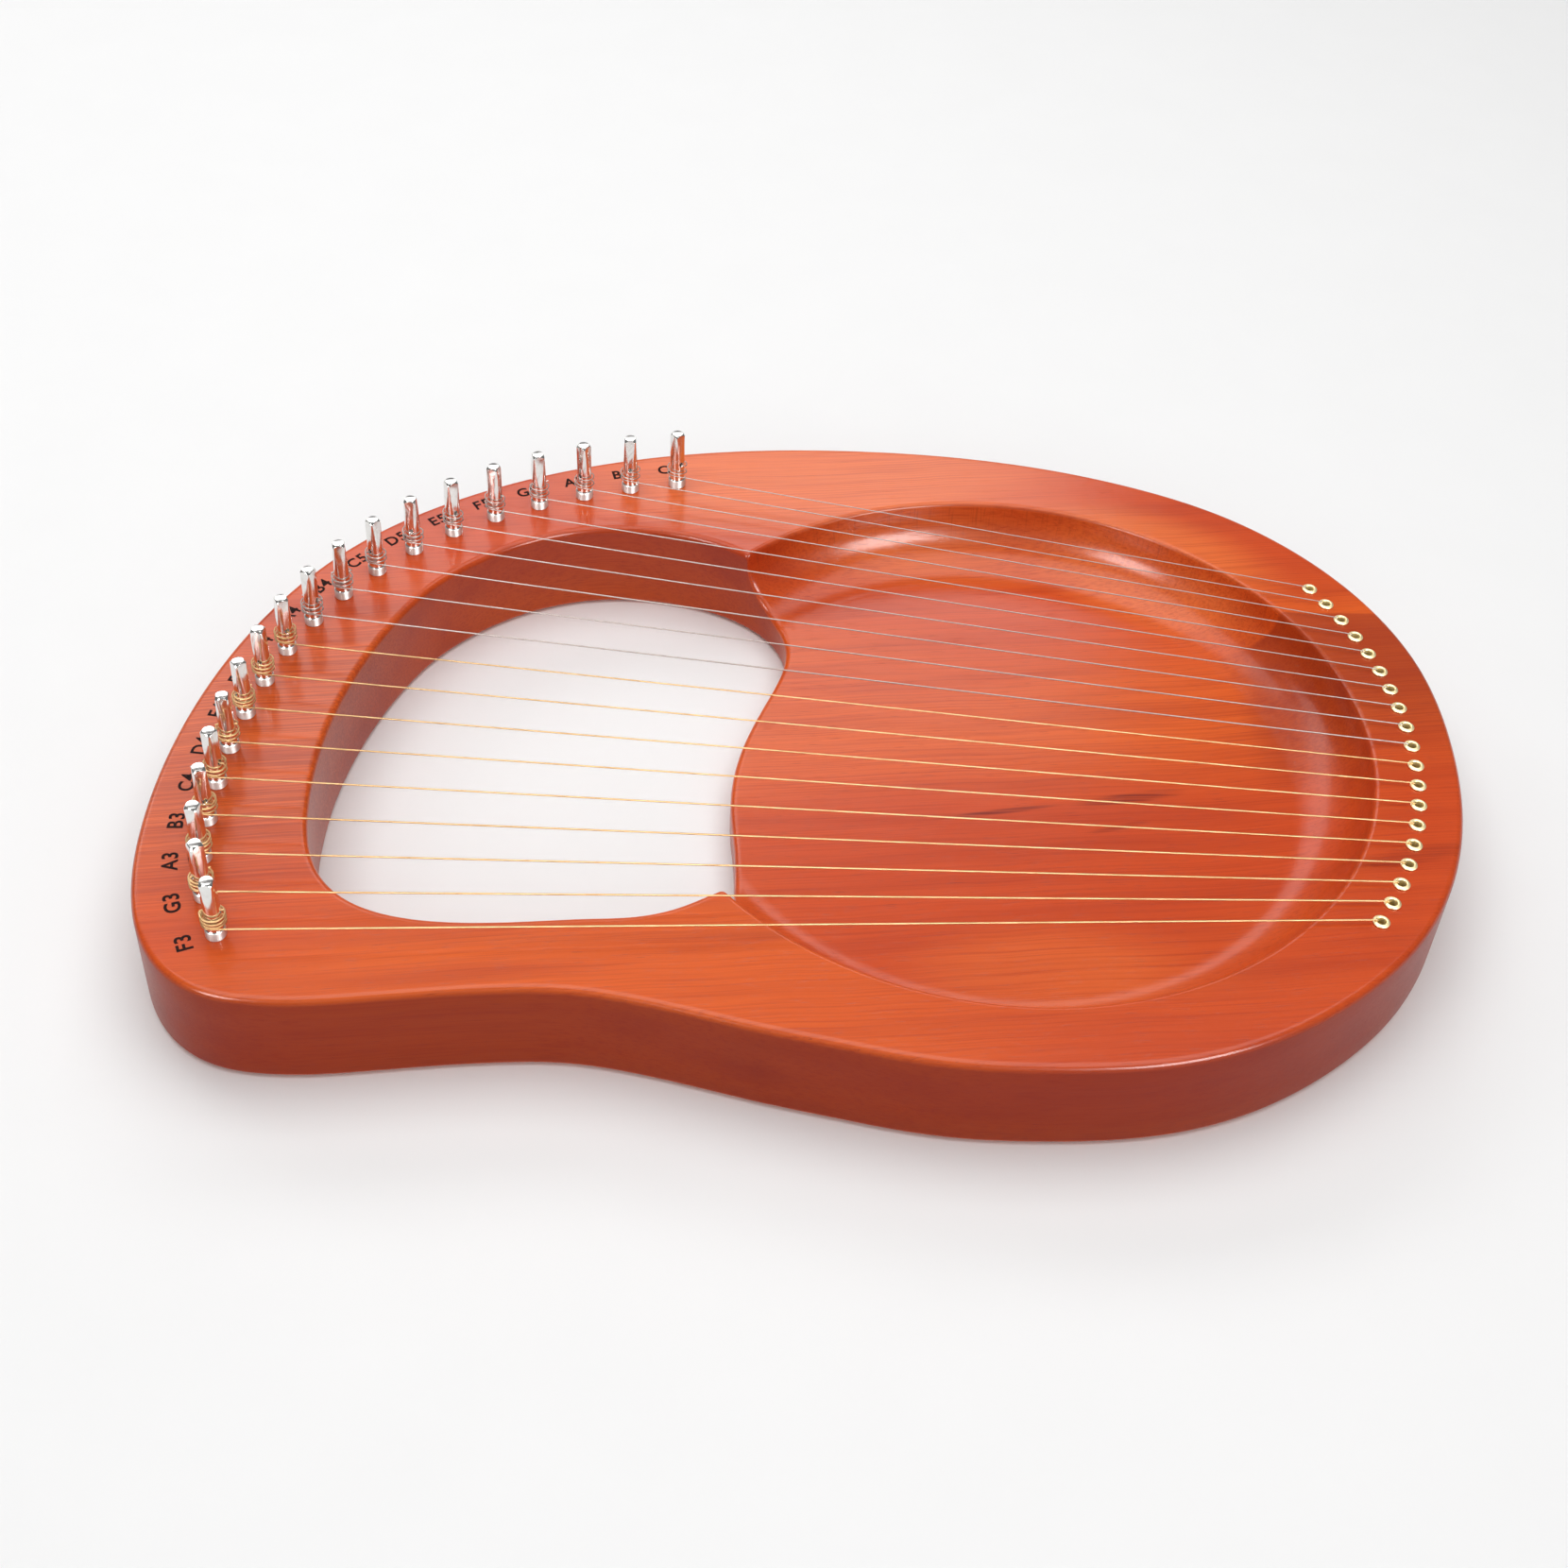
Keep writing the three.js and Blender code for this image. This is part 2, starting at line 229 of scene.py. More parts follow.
def mark_patch_borders(mesh):
    """Edges between two patches are creases, and all others are smooth."""
    patch = np.zeros(len(mesh.polygons), np.int32)
    mesh.attributes["patch"].data.foreach_get("value", patch)
    found = {}
    for polygon in mesh.polygons:
        for key in polygon.edge_keys:
            found.setdefault(key, set()).add(int(patch[polygon.index]))
    sharp = mesh.attributes.new("sharp_edge", "BOOLEAN", "EDGE")
    sharp.data.foreach_set("value", [len(found[tuple(sorted(e.vertices))]) > 1 for e in mesh.edges])


def shown(name, mesh, body, materials, replaces=None, matrix=None):
    """Makes the object, lets it ride on its body and hides the frame part that it stands for."""
    piece = bpy.data.objects.new(name, mesh)
    bpy.context.scene.collection.objects.link(piece)
    if not mesh.materials:
        for material in materials:
            mesh.materials.append(material)
    if matrix:
        piece.matrix_world = matrix
    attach(piece, body)
    if replaces:
        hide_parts(replaces)
    return piece


def lathe(profile, segments, closed=False):
    """A turned shape about +Z from [radius, height] pairs, listed upwards along the outside."""
    points = []
    rings = []
    for radius, height in profile:
        first = len(points)
        count = 1 if radius == 0 else segments
        for k in range(count):
            angle = FULL_TURN * k / segments
            points.append((radius * math.cos(angle), radius * math.sin(angle), height))
        rings.append([first + k % count for k in range(segments)])
    faces = []
    for low, high in zip(rings, rings[1:] + rings[:1] if closed else rings[1:]):
        for k in range(segments):
            n = (k + 1) % segments
            face = tuple(dict.fromkeys((low[k], low[n], high[n], high[k])))
            if len(face) > 2:
                faces.append(face)
    return np.array(points), faces


def arc(centre, radius, start, end, steps):
    """Profile points on an arc, angles in degrees from the outward radius towards the axis direction."""
    angles = np.radians(np.linspace(start, end, steps + 1))
    return [(centre[0] + radius * math.cos(a), centre[1] + radius * math.sin(a)) for a in angles]


def tube(path, radius, sides):
    """A round wire along a path, with closed ends: points, faces and each point's (length, angle)."""
    path = np.asarray(path, float)
    tangents = np.gradient(path, axis=0)
    tangents /= np.linalg.norm(tangents, axis=1)[:, None]
    across = np.cross(tangents[0], (0, 0, 1))
    lengths = np.concatenate([[0], np.cumsum(np.linalg.norm(np.diff(path, axis=0), axis=1))])
    points = []
    coords = []
    for place, tangent, length in zip(path, tangents, lengths):
        across = across - tangent * np.dot(across, tangent)
        across /= np.linalg.norm(across)
        other = np.cross(tangent, across)
        for k in range(sides):
            angle = FULL_TURN * k / sides
            points.append(place + radius * (math.cos(angle) * across + math.sin(angle) * other))
            coords.append((length, k / sides))
    faces = []
    for ring in range(len(path) - 1):
        for k in range(sides):
            a, b = ring * sides + k, ring * sides + (k + 1) % sides
            faces.append((a, b, b + sides, a + sides))
    last = (len(path) - 1) * sides
    faces.append(tuple(range(sides - 1, -1, -1)))
    faces.append(tuple(last + k for k in range(sides)))
    return np.array(points), faces, coords


def smooth_path(points, steps):
    """A curve through the points, with this many steps between neighbours."""
    p = np.asarray(points, float)
    p = np.vstack([2 * p[0] - p[1], p, 2 * p[-1] - p[-2]])
    out = []
    for a, b, c, d in zip(p, p[1:], p[2:], p[3:]):
        for t in np.arange(steps) / steps:
            out.append(0.5 * (2 * b + (c - a) * t + (2 * a - 5 * b + 4 * c - d) * t**2
                              + (3 * b - 3 * c + d - a) * t**3))
    out.append(p[-2])
    return np.array(out)


# ---- Board: a slab whose top and bottom heights are worked out at each point of a plan ----


def wall_loops():
    """The outline and the opening of the frame's board, as the two loops at the foot of its upright walls."""
    mesh = frame["nodes"]["harp_body"].data
    level = EDGE_ROUND + BOARD_LOW.z
    places = {}
    index_of = []
    for vertex in mesh.vertices:
        co = vertex.co / MM
        key = (round(co.x, 3), round(co.y, 3)) if abs(co.z - level) < 0.01 else None
        index_of.append(places.setdefault(key, len(places)) if key else None)
    neighbours = {}
    for edge in mesh.edges:
        a, b = (index_of[v] for v in edge.vertices)
        if a is not None and b is not None and a != b:
            neighbours.setdefault(a, set()).add(b)
            neighbours.setdefault(b, set()).add(a)
    xy = list(places)
    loops = []
    unused = set(neighbours)
    while unused:
        loop = [unused.pop()]
        while True:
            onward = [n for n in neighbours[loop[-1]] if n in unused]
            if not onward:
                break
            loop.append(onward[0])
            unused.discard(onward[0])
        loops.append(np.array([xy[i] for i in loop]))
    loops.sort(key=lambda loop: -np.ptp(loop[:, 0]))
    return [counter_clockwise(loop) for loop in loops[:2]]


def counter_clockwise(loop):
    x, y = loop[:, 0], loop[:, 1]
    area = np.dot(x, np.roll(y, -1)) - np.dot(y, np.roll(x, -1))
    return loop if area > 0 else loop[::-1]


def smooth_loop(loop, spacing):
    """A closed cubic spline through the loop, with points at an even spacing."""
    n = len(loop)
    step = np.linalg.norm(np.roll(loop, -1, 0) - loop, axis=1)
    before = np.roll(step, 1)
    slope = (np.roll(loop, -1, 0) - loop) / step[:, None]
    matrix = np.diag(2 * (before + step))
    matrix[np.arange(n), (np.arange(n) + 1) % n] += step
    matrix[np.arange(n), (np.arange(n) - 1) % n] += before
    bend = np.linalg.solve(matrix, 6 * (slope - np.roll(slope, 1, 0)))
    starts = np.concatenate([[0], np.cumsum(step)])
    count = round(starts[-1] / spacing)
    at = np.arange(count) * starts[-1] / count
    i = np.clip(np.searchsorted(starts, at, side="right") - 1, 0, n - 1)
    j = (i + 1) % n
    h = step[i][:, None]
    t = (at - starts[i])[:, None]
    left = (bend[i] * (h - t) ** 3 + bend[j] * t**3) / (6 * h)
    return left + (loop[i] / h - bend[i] * h / 6) * (h - t) + (loop[j] / h - bend[j] * h / 6) * t


def offset_loop(loop, distance):
    """The loop moved to its left by a distance."""
    along = np.roll(loop, -1, 0) - np.roll(loop, 1, 0)
    along /= np.linalg.norm(along, axis=1)[:, None]
    return loop + distance * np.stack([-along[:, 1], along[:, 0]], axis=1)


def distance_to_loop(points, loop):
    """The shortest distance from each point to a closed loop."""
    ends = np.roll(loop, -1, 0)
    along = ends - loop
    squares = (along**2).sum(1)
    out = np.empty(len(points))
    for start in range(0, len(points), 1000):
        p = points[start:start + 1000, None, :]
        t = np.clip(((p - loop) * along).sum(2) / squares, 0, 1)
        gap = p - (loop + t[:, :, None] * along)
        out[start:start + 1000] = np.sqrt((gap**2).sum(2).min(1))
    return out


def is_inside(points, loop):
    """Which points lie inside a closed loop, by counting crossings."""
    x, y = loop[:, 0], loop[:, 1]
    nx, ny = np.roll(x, -1), np.roll(y, -1)
    out = np.empty(len(points), bool)
    for start in range(0, len(points), 1000):
        px, py = points[start:start + 1000, 0, None], points[start:start + 1000, 1, None]
        spans = (y > py) != (ny > py)
        with np.errstate(divide="ignore", invalid="ignore"):
            crossing = x + (py - y) * (nx - x) / (ny - y)
        out[start:start + 1000] = (spans & (px < crossing)).sum(1) % 2 == 1
    return out


def circle(centre, radius, count):
    angles = FULL_TURN * np.arange(count) / count
    return np.asarray(centre) + radius * np.stack([np.cos(angles), np.sin(angles)], axis=1)


def dish_of_frame():
    """The dish's centre, wall radius, floor radius and floor height, read from the frame's board."""
    co = np.array([v.co for v in frame["nodes"]["harp_body"].data.vertices]) / MM
    wall = co[abs(co[:, 2] - (BOARD_TOP - DISH_LIP_ROUND)) < 0.01][:, :2]
    wall = wall[wall[:, 0] > wall[:, 0].min() + 1]
    rows = np.column_stack([2 * wall, np.ones(len(wall))])
    fit = np.linalg.lstsq(rows, (wall**2).sum(1), rcond=None)[0]
    centre = fit[:2]
    wall_radius = math.sqrt(fit[2] + centre @ centre)
    reach = np.linalg.norm(co[:, :2] - centre, axis=1)
    middle = co[(reach < wall_radius - 1) & (co[:, 2] > EDGE_ROUND + 0.01)]
    heights, counts = np.unique(np.round(middle[:, 2], 3), return_counts=True)
    floor = heights[np.argmax(counts * (heights < BOARD_TOP - EDGE_ROUND))]
    floor_reach = np.linalg.norm(middle[abs(middle[:, 2] - floor) < 0.01][:, :2] - centre, axis=1)
    return centre, wall_radius, floor_reach.max(), floor


OUTLINE, OPENING = (smooth_loop(loop, OUTLINE_SPACING) for loop in wall_loops())
DISH_CENTRE, DISH_RADIUS, DISH_FLOOR_RADIUS, DISH_FLOOR = dish_of_frame()
DISH_WALL_TOP = BOARD_TOP - DISH_LIP_ROUND


def dish_height(radius):
    """The height of the top face at a distance from the dish's centre: floor, cove, lip and land."""
    cove = np.clip((radius - DISH_FLOOR_RADIUS) / (DISH_RADIUS - DISH_FLOOR_RADIUS), 0, 1)
    height = DISH_FLOOR + (DISH_WALL_TOP - DISH_FLOOR) * (1 - np.sqrt(1 - cove**2))
    lip = np.clip((DISH_RADIUS + DISH_LIP_ROUND - radius) / DISH_LIP_ROUND, 0, 1)
    on_lip = DISH_WALL_TOP + DISH_LIP_ROUND * np.sqrt(1 - lip**2)
    return np.where(radius < DISH_RADIUS, height, on_lip)


def round_over(distance):
    """How far the surface has dropped at a distance from an edge."""
    inward = np.clip(EDGE_ROUND - distance, 0, EDGE_ROUND)
    return EDGE_ROUND - np.sqrt(EDGE_ROUND**2 - inward**2)


def edge_distances(plan):
    return distance_to_loop(plan, OUTLINE), distance_to_loop(plan, OPENING)


def edge_drop(plan):
    """How far the surface has dropped at each point of the plan, from both edges together."""
    return sum(round_over(distance) for distance in edge_distances(plan))


def edge_offsets():
    """Distances from an edge at which its round-over has a row of points."""
    angles = np.linspace(math.pi / 2, 0, EDGE_ROUND_STEPS + 1)[1:]
    return [EDGE_ROUND * (1 - math.sin(a)) for a in angles] + [EDGE_ROUND + SUPPORT_STRIP]


def dish_radii():
    cove_angles = np.linspace(0, math.pi / 2, DISH_COVE_STEPS + 1)
    cove = [DISH_FLOOR_RADIUS + (DISH_RADIUS - DISH_FLOOR_RADIUS) * math.sin(a) for a in cove_angles]
    lip_angles = np.linspace(0, math.pi / 2, DISH_LIP_STEPS + 1)[1:]
    lip = [DISH_RADIUS + DISH_LIP_ROUND * (1 - math.cos(a)) for a in lip_angles]
    return [DISH_FLOOR_RADIUS - SUPPORT_STRIP] + cove + lip + [lip[-1] + SUPPORT_STRIP]


def fill_points(loops):
    """Loose points on a staggered grid over the board, clear of every loop."""
    taken = np.concatenate(loops)
    tree = KDTree(len(taken))
    for i, (x, y) in enumerate(taken):
        tree.insert((x, y, 0), i)
    tree.balance()
    points = []
    rows = np.arange(BOARD_LOW.y, BOARD_HIGH.y, FLAT_SPACING * math.sqrt(3) / 2)
    for row, y in enumerate(rows):
        for x in np.arange(BOARD_LOW.x + (row % 2) * FLAT_SPACING / 2, BOARD_HIGH.x, FLAT_SPACING):
            if tree.find((x, y, 0))[2] > FLAT_SPACING / 2:
                points.append((x, y))
    return np.array(points)


def triangulate(borders, features, holes):
    """Triangles over the board's plan. Borders bound it, features are kept as lines, holes are left open."""
    loops = borders + features + [circle(centre, radius, HOLE_SEGMENTS) for centre, radius in holes]
    points = []
    edges = []
    for loop in loops:
        start = len(points)
        points += [Vector(p) for p in loop]
        edges += [(start + k, start + (k + 1) % len(loop)) for k in range(len(loop))]
    points += [Vector(p) for p in fill_points(loops)]
    found = delaunay_2d_cdt(points, edges, [], 0, 1e-5, False)
    plan = np.array([tuple(p) for p in found[0]])
    triangles = np.array(found[2])
    corners = plan[triangles]
    turn = np.cross(corners[:, 1] - corners[:, 0], corners[:, 2] - corners[:, 0])
    triangles[turn < 0] = triangles[turn < 0][:, ::-1]
    middles = plan[triangles].mean(1)
    keep = is_inside(middles, borders[0]) & ~is_inside(middles, borders[1])
    for centre, radius in holes:
        keep &= np.linalg.norm(middles - centre, axis=1) > radius * math.cos(math.pi / HOLE_SEGMENTS) - 1e-4
    return plan, triangles[keep]


def border_loops(triangles):
    """The directed loops round the edge of a triangulation, each with the material on its left."""
    edges = set()
    for a, b, c in triangles.tolist():
        edges.update(((a, b), (b, c), (c, a)))
    onward = {a: b for a, b in edges if (b, a) not in edges}
    loops = []
    while onward:
        start, here = onward.popitem()
        loop = [start]
        while here != start:
            loop.append(here)
            here = onward.pop(here)
        loops.append(loop)
    return sorted(loops, key=len, reverse=True)


def add_walls(soup, rings, patch):
    """Faces between each ring of points and the next, listed downwards."""
    count = len(rings[0])
    faces = []
    for row in range(len(rings) - 1):
        for k in range(count):
            a, b = row * count + k, row * count + (k + 1) % count
            faces.append((a, a + count, b + count, b))
    soup.add(np.concatenate(rings), faces, patch)


def hole_ring(centre, radius, height):
    """A ring that runs clockwise seen from above, as the edge of a hole does."""
    return np.column_stack([circle(centre, radius, HOLE_SEGMENTS)[::-1], np.full(HOLE_SEGMENTS, height)])


def add_pin_hole(soup, centre, patch):
    bottom = hole_ring(centre, PIN_HOLE_RADIUS, BOARD_TOP - PIN_HOLE_DEPTH)
    add_walls(soup, [hole_ring(centre, PIN_HOLE_RADIUS, BOARD_TOP), bottom], patch)
    soup.add(bottom, [tuple(range(HOLE_SEGMENTS - 1, -1, -1))], patch + 1)


def add_passage(soup, centre, patch):
    """The stepped hole below an eyelet: a seat, a bore and a pocket for the string's ball end."""
    seat = BOARD_TOP - EYELET_SEAT_DEPTH
    levels = [
        (EYELET_SEAT_RADIUS, BOARD_TOP), (EYELET_SEAT_RADIUS, seat), (PASSAGE_RADIUS, seat),
        (PASSAGE_RADIUS, BALL_POCKET_DEPTH), (BALL_POCKET_RADIUS, BALL_POCKET_DEPTH), (BALL_POCKET_RADIUS, 0),
    ]
    rings = [hole_ring(centre, radius, height) for radius, height in levels]
    for step in range(len(rings) - 1):
        add_walls(soup, rings[step:step + 2], patch + step)


def board_mesh():
    soup = Soup()
    insets = [offset_loop(OUTLINE, d) for d in edge_offsets()]
    outsets = [offset_loop(OPENING, -d) for d in edge_offsets()]
    rings = [circle(DISH_CENTRE, r, round(FULL_TURN * r / DISH_SPACING)) for r in dish_radii()]
    top_holes = [(p, PIN_HOLE_RADIUS) for p in PIN_PLACES] + [(p, EYELET_SEAT_RADIUS) for p in EYELET_PLACES]
    plan, triangles = triangulate([OUTLINE, OPENING], insets + outsets + rings, top_holes)
    top = dish_height(np.linalg.norm(plan - DISH_CENTRE, axis=1)) - edge_drop(plan)
    soup.add(np.column_stack([plan, top]), triangles.tolist(), 0)

    borders = border_loops(triangles)[:2]
    loops = [plan[loop] for loop in borders]
    pockets = [(p, BALL_POCKET_RADIUS) for p in EYELET_PLACES]
    low_plan, low_triangles = triangulate(loops, insets + outsets, pockets)
    soup.add(np.column_stack([low_plan, edge_drop(low_plan)]), low_triangles[:, ::-1].tolist(), 0)

    for border, loop in zip(borders, loops):
        upper = top[border]
        lower = edge_drop(loop)
        levels = [np.column_stack([loop, upper + (lower - upper) * k / WALL_ROWS])
                  for k in range(WALL_ROWS + 1)]
        add_walls(soup, levels, 0)

    for index in range(len(NOTES)):
        add_pin_hole(soup, PIN_PLACES[index], 10 + 10 * index)
        add_passage(soup, EYELET_PLACES[index], 13 + 10 * index)
    return soup.mesh("harp_wood", weld=0.002, sharp_between_patches=True)


def add_wood_attributes(mesh):
    """Marks the rounded edges, the dish's wall and the upright walls, for the stain, the tool marks and the
    painted shade of the wood.
    """
    co = np.array([v.co for v in mesh.vertices]) / MM
    to_outline, to_opening = edge_distances(co[:, :2])
    reach = np.linalg.norm(co[:, :2] - DISH_CENTRE, axis=1)
    lip = abs(reach - DISH_RADIUS - DISH_LIP_ROUND / 2)
    nearest = np.minimum(np.minimum(to_outline, to_opening), lip)
    upright = abs(np.array([v.normal.z for v in mesh.vertices]))
    edge = np.clip(1 - nearest / (1.1 * EDGE_ROUND), 0, 1) * (upright > 0.05)
    in_dish = (reach < DISH_RADIUS + 0.1) & (co[:, 2] > dish_height(reach) - 0.95 * EDGE_ROUND)
    cove = np.clip((reach - DISH_FLOOR_RADIUS) / (DISH_RADIUS - DISH_FLOOR_RADIUS), 0, 1) * in_dish
    steep = np.clip((0.80 - upright) / 0.75, 0, 1)
    # How much painted shade each steep vertex gets: none in the dish, less on the opening's walls.
    wall = steep * np.where(in_dish, 0.0, np.where(to_opening < to_outline, 0.55, 1.0))
    for name, values in (("edge", edge), ("cove", cove), ("wall", wall)):
        attribute = mesh.attributes.new(name, "FLOAT", "POINT")
        attribute.data.foreach_set("value", values.astype(np.float32))


# ---- Tuning pins ----


def temporary(mesh):
    work = bpy.data.objects.new("work", mesh)
    bpy.context.scene.collection.objects.link(work)
    return work


def cut(mesh, cutters):
    """The mesh with every cutter mesh taken out of it."""
    work = temporary(mesh)
    tools = [temporary(cutter) for cutter in cutters]
    for tool in tools:
        modifier = work.modifiers.new("cut", "BOOLEAN")
        modifier.operation = "DIFFERENCE"
        modifier.solver = "EXACT"
        modifier.object = tool
    result = applied(work)
    for tool in tools:
        bpy.data.objects.remove(tool)
    return result


def applied(work):
    """The object's mesh with its modifiers applied. The object is removed."""
    graph = bpy.context.evaluated_depsgraph_get()
    mesh = bpy.data.meshes.new_from_object(work.evaluated_get(graph))
    bpy.data.objects.remove(work)
    return mesh


def head_flat_cutter(quarter):
    """A block whose inner face is one flat of the tapered square head."""
    rise = PIN_HEIGHT - PIN_FLAT_START
    lean = math.atan2(PIN_NECK_RADIUS - PIN_FLAT_TOP_HALF_WIDTH, rise)
    far = 2 * rise
    corners = [(x, y, z) for x in (0, far) for y in (-rise, rise) for z in (-rise / 4, far)]
    faces = [(0, 1, 3, 2), (4, 6, 7, 5), (0, 4, 5, 1), (2, 3, 7, 6), (0, 2, 6, 4), (1, 5, 7, 3)]
    place = (Matrix.Rotation(quarter * math.pi / 2, 4, "Z")
             @ Matrix.Translation((PIN_NECK_RADIUS, 0, PIN_FLAT_START)) @ Matrix.Rotation(-lean, 4, "Y"))
    soup = Soup()
    soup.add([place @ Vector(c) for c in corners], faces)
    return soup.mesh("flat_cutter")


def string_hole_cutter():
    length = 2 * PIN_NECK_RADIUS
    sink, radius = PIN_STRING_HOLE_SINK, PIN_STRING_HOLE_RADIUS
    face = PIN_NECK_RADIUS
    mouth = radius + sink
    outside = mouth + length - face
    points, faces = lathe([
        (0, -length), (outside, -length), (mouth, -face), (radius, -face + sink),
        (radius, face - sink), (mouth, face), (outside, length), (0, length),
    ], HOLE_SEGMENTS)
    turned = points[:, [2, 1, 0]] * (1, -1, 1) + (0, 0, PIN_STRING_HOLE_HEIGHT)
    soup = Soup()
    soup.add(turned, faces)
    return soup.mesh("hole_cutter")


def pin_mesh():
    """A tuning pin standing on the origin: shank, foot, neck and a tapered square head with a string hole."""
    chamfer = PIN_END_CHAMFER
    groove = PIN_THREAD_RADIUS - PIN_THREAD_DEPTH
    neck_start = 4.5
    profile = [(0, -PIN_SHANK_DEPTH), (PIN_SHANK_RADIUS - chamfer, -PIN_SHANK_DEPTH)]
    profile += [(PIN_SHANK_RADIUS, chamfer - PIN_SHANK_DEPTH), (PIN_SHANK_RADIUS, PIN_THREAD_START)]
    turns = round((PIN_THREAD_END - PIN_THREAD_START) / PIN_THREAD_PITCH)
    for turn in range(turns):
        low = PIN_THREAD_START + turn * PIN_THREAD_PITCH
        profile += [(groove, low), (PIN_THREAD_RADIUS, low + PIN_THREAD_PITCH / 2)]
    profile += [(groove, PIN_THREAD_END), (PIN_NECK_RADIUS, PIN_THREAD_END + PIN_FOOT_TAPER)]
    profile += [(PIN_NECK_RADIUS, z) for z in np.linspace(neck_start, PIN_HEIGHT - PIN_TOP_CHAMFER, 8)]
    profile += [(PIN_NECK_RADIUS - PIN_TOP_CHAMFER, PIN_HEIGHT), (0, PIN_HEIGHT)]
    soup = Soup()
    soup.add(*lathe(profile, PIN_SEGMENTS))
    cutters = [head_flat_cutter(quarter) for quarter in range(4)] + [string_hole_cutter()]
    work = temporary(cut(soup.mesh("pin_blank"), cutters))
    bevel = work.modifiers.new("bevel", "BEVEL")
    bevel.width = PIN_EDGE_BREAK * MM
    bevel.segments = 2
    bevel.angle_limit = math.radians(32)
    mesh = applied(work)
    mesh.name = "tuning_pin"
    mesh.shade_smooth()
    mesh.set_sharp_from_angle(angle=math.radians(30))
    return mesh


# ---- Eyelets ----


def eyelet_mesh():
    """A pressed brass eyelet seated at the origin: a barrel in the board and a rolled flange on top of it."""
    hole, barrel, length = EYELET_HOLE_RADIUS, EYELET_BARREL_RADIUS, EYELET_BARREL_LENGTH
    rim, mouth, lift = EYELET_RIM_RADIUS, EYELET_MOUTH_RADIUS, EYELET_FLANGE_LIFT
    rim_centre = (EYELET_FLANGE_RADIUS - rim, lift + rim)
    mouth_centre = (hole + mouth, EYELET_CREST_HEIGHT - mouth)
    profile = [(hole, -length), (barrel, -length), (barrel, lift), (rim_centre[0], lift)]
    profile += arc(rim_centre, rim, -60, 62, 7)
    profile += arc(mouth_centre, mouth, 84, 180, 8)
    soup = Soup()
    soup.add(*lathe(profile, 48, closed=True))
    return soup.mesh("eyelet", sharp_angle=50)


# ---- Strings ----


def string_layout(index):
    """What both halves of a string share: wire radius, pin, eyelet, radius of the coil and leaving angle."""
    radius = string_radius(index)
    pin, hole = PIN_PLACES[index], EYELET_PLACES[index]
    to_hole = hole - pin
    distance = np.linalg.norm(to_hole)
    wrap = PIN_NECK_RADIUS + COIL_GAP + radius
    leave = math.atan2(to_hole[1], to_hole[0]) - math.acos(wrap / distance)
    return radius, pin, hole, wrap, leave


def round_point(centre, radius, angle, height):
    return np.array([centre[0] + radius * math.cos(angle), centre[1] + radius * math.sin(angle), height])


def eased(share):
    """From 0 to 1 as the share does, with a level start and end, and level beyond them."""
    return (1 - np.cos(math.pi * np.clip(share, 0, 1))) / 2


def coil_path(index):
    """Clockwise up the pin's neck and in through the hole in its head. The lowest turn lies just below the
    span, so that it passes under the span when the pin has been turned."""
    radius, pin, _, wrap, leave = string_layout(index)
    mouth = math.radians(PIN_TURN_STEP * index)
    wanted = FULL_TURN * share_of(COIL_TURNS, index / (len(NOTES) - 1))
    sweep = (leave - mouth) % math.pi
    while sweep < wanted:
        sweep += math.pi
    sweep -= COIL_APPROACH
    low = BOARD_TOP + STRING_LEAVE_HEIGHT
    high = BOARD_TOP + COIL_TOP_HEIGHT - radius
    turned = np.linspace(0, sweep, round(sweep / math.radians(COIL_STEP)))
    rise = np.clip((turned - COIL_FLAT) / (sweep - COIL_FLAT), 0, 1)
    ease = np.minimum(rise * 8, 1)  # the climb starts at half its slope
    sunk = eased(turned / COIL_SINK_ANGLE) * eased((COIL_SUNK_UNTIL - turned) / COIL_SINK_ANGLE)
    heights = low + (high - low) * rise * (0.5 + 0.5 * ease) - sunk * (2 * radius + COIL_CLEARANCE)
    loose = COIL_SLACK * np.sin(turned * COIL_SLACK_WAVE + index) * np.clip(turned - COIL_FLAT, 0, 1)
    path = [round_point(pin, wrap + abs(slack), leave - a, z + slack)
            for a, z, slack in zip(turned, heights, loose)]
    end = leave - sweep - COIL_APPROACH
    hole_height = BOARD_TOP + PIN_STRING_HOLE_HEIGHT
    turn_in = [
        round_point(pin, wrap, end + 0.18, hole_height - 0.2),
        round_point(pin, wrap - 0.5, end + 0.01, hole_height),
        round_point(pin, HOLE_REACH, end, hole_height),
        round_point(pin, -HOLE_REACH, end, hole_height),
        round_point(pin, -TAIL_REACH, end + 0.05, hole_height + 0.12),
    ]
    return np.vstack([path[:-1], smooth_path([path[-1]] + turn_in, 5)])


def wire_mesh(soup, path, radius, name):
    """A wire as a mesh, with its length in millimetres and its angle as a UV layer for the winding."""
    points, faces, coords = tube(path, radius, STRING_SIDES)
    first_face = len(soup.faces)
    soup.add(points, faces)
    mesh = soup.mesh(name, sharp_angle=60)
    layer = mesh.uv_layers.new(name="along")
    first_point = sum(len(block) for block in soup.points) - len(points)
    for polygon in mesh.polygons[first_face:]:
        angles = [coords[v - first_point][1] for v in polygon.vertices]
        wraps = len(angles) == 4 and max(angles) - min(angles) > 0.5
        for loop, angle, vertex in zip(polygon.loop_indices, angles, polygon.vertices):
            length = coords[vertex - first_point][0]
            layer.data[loop].uv = (length, angle + (1 if wraps and angle < 0.5 else 0))
    return mesh


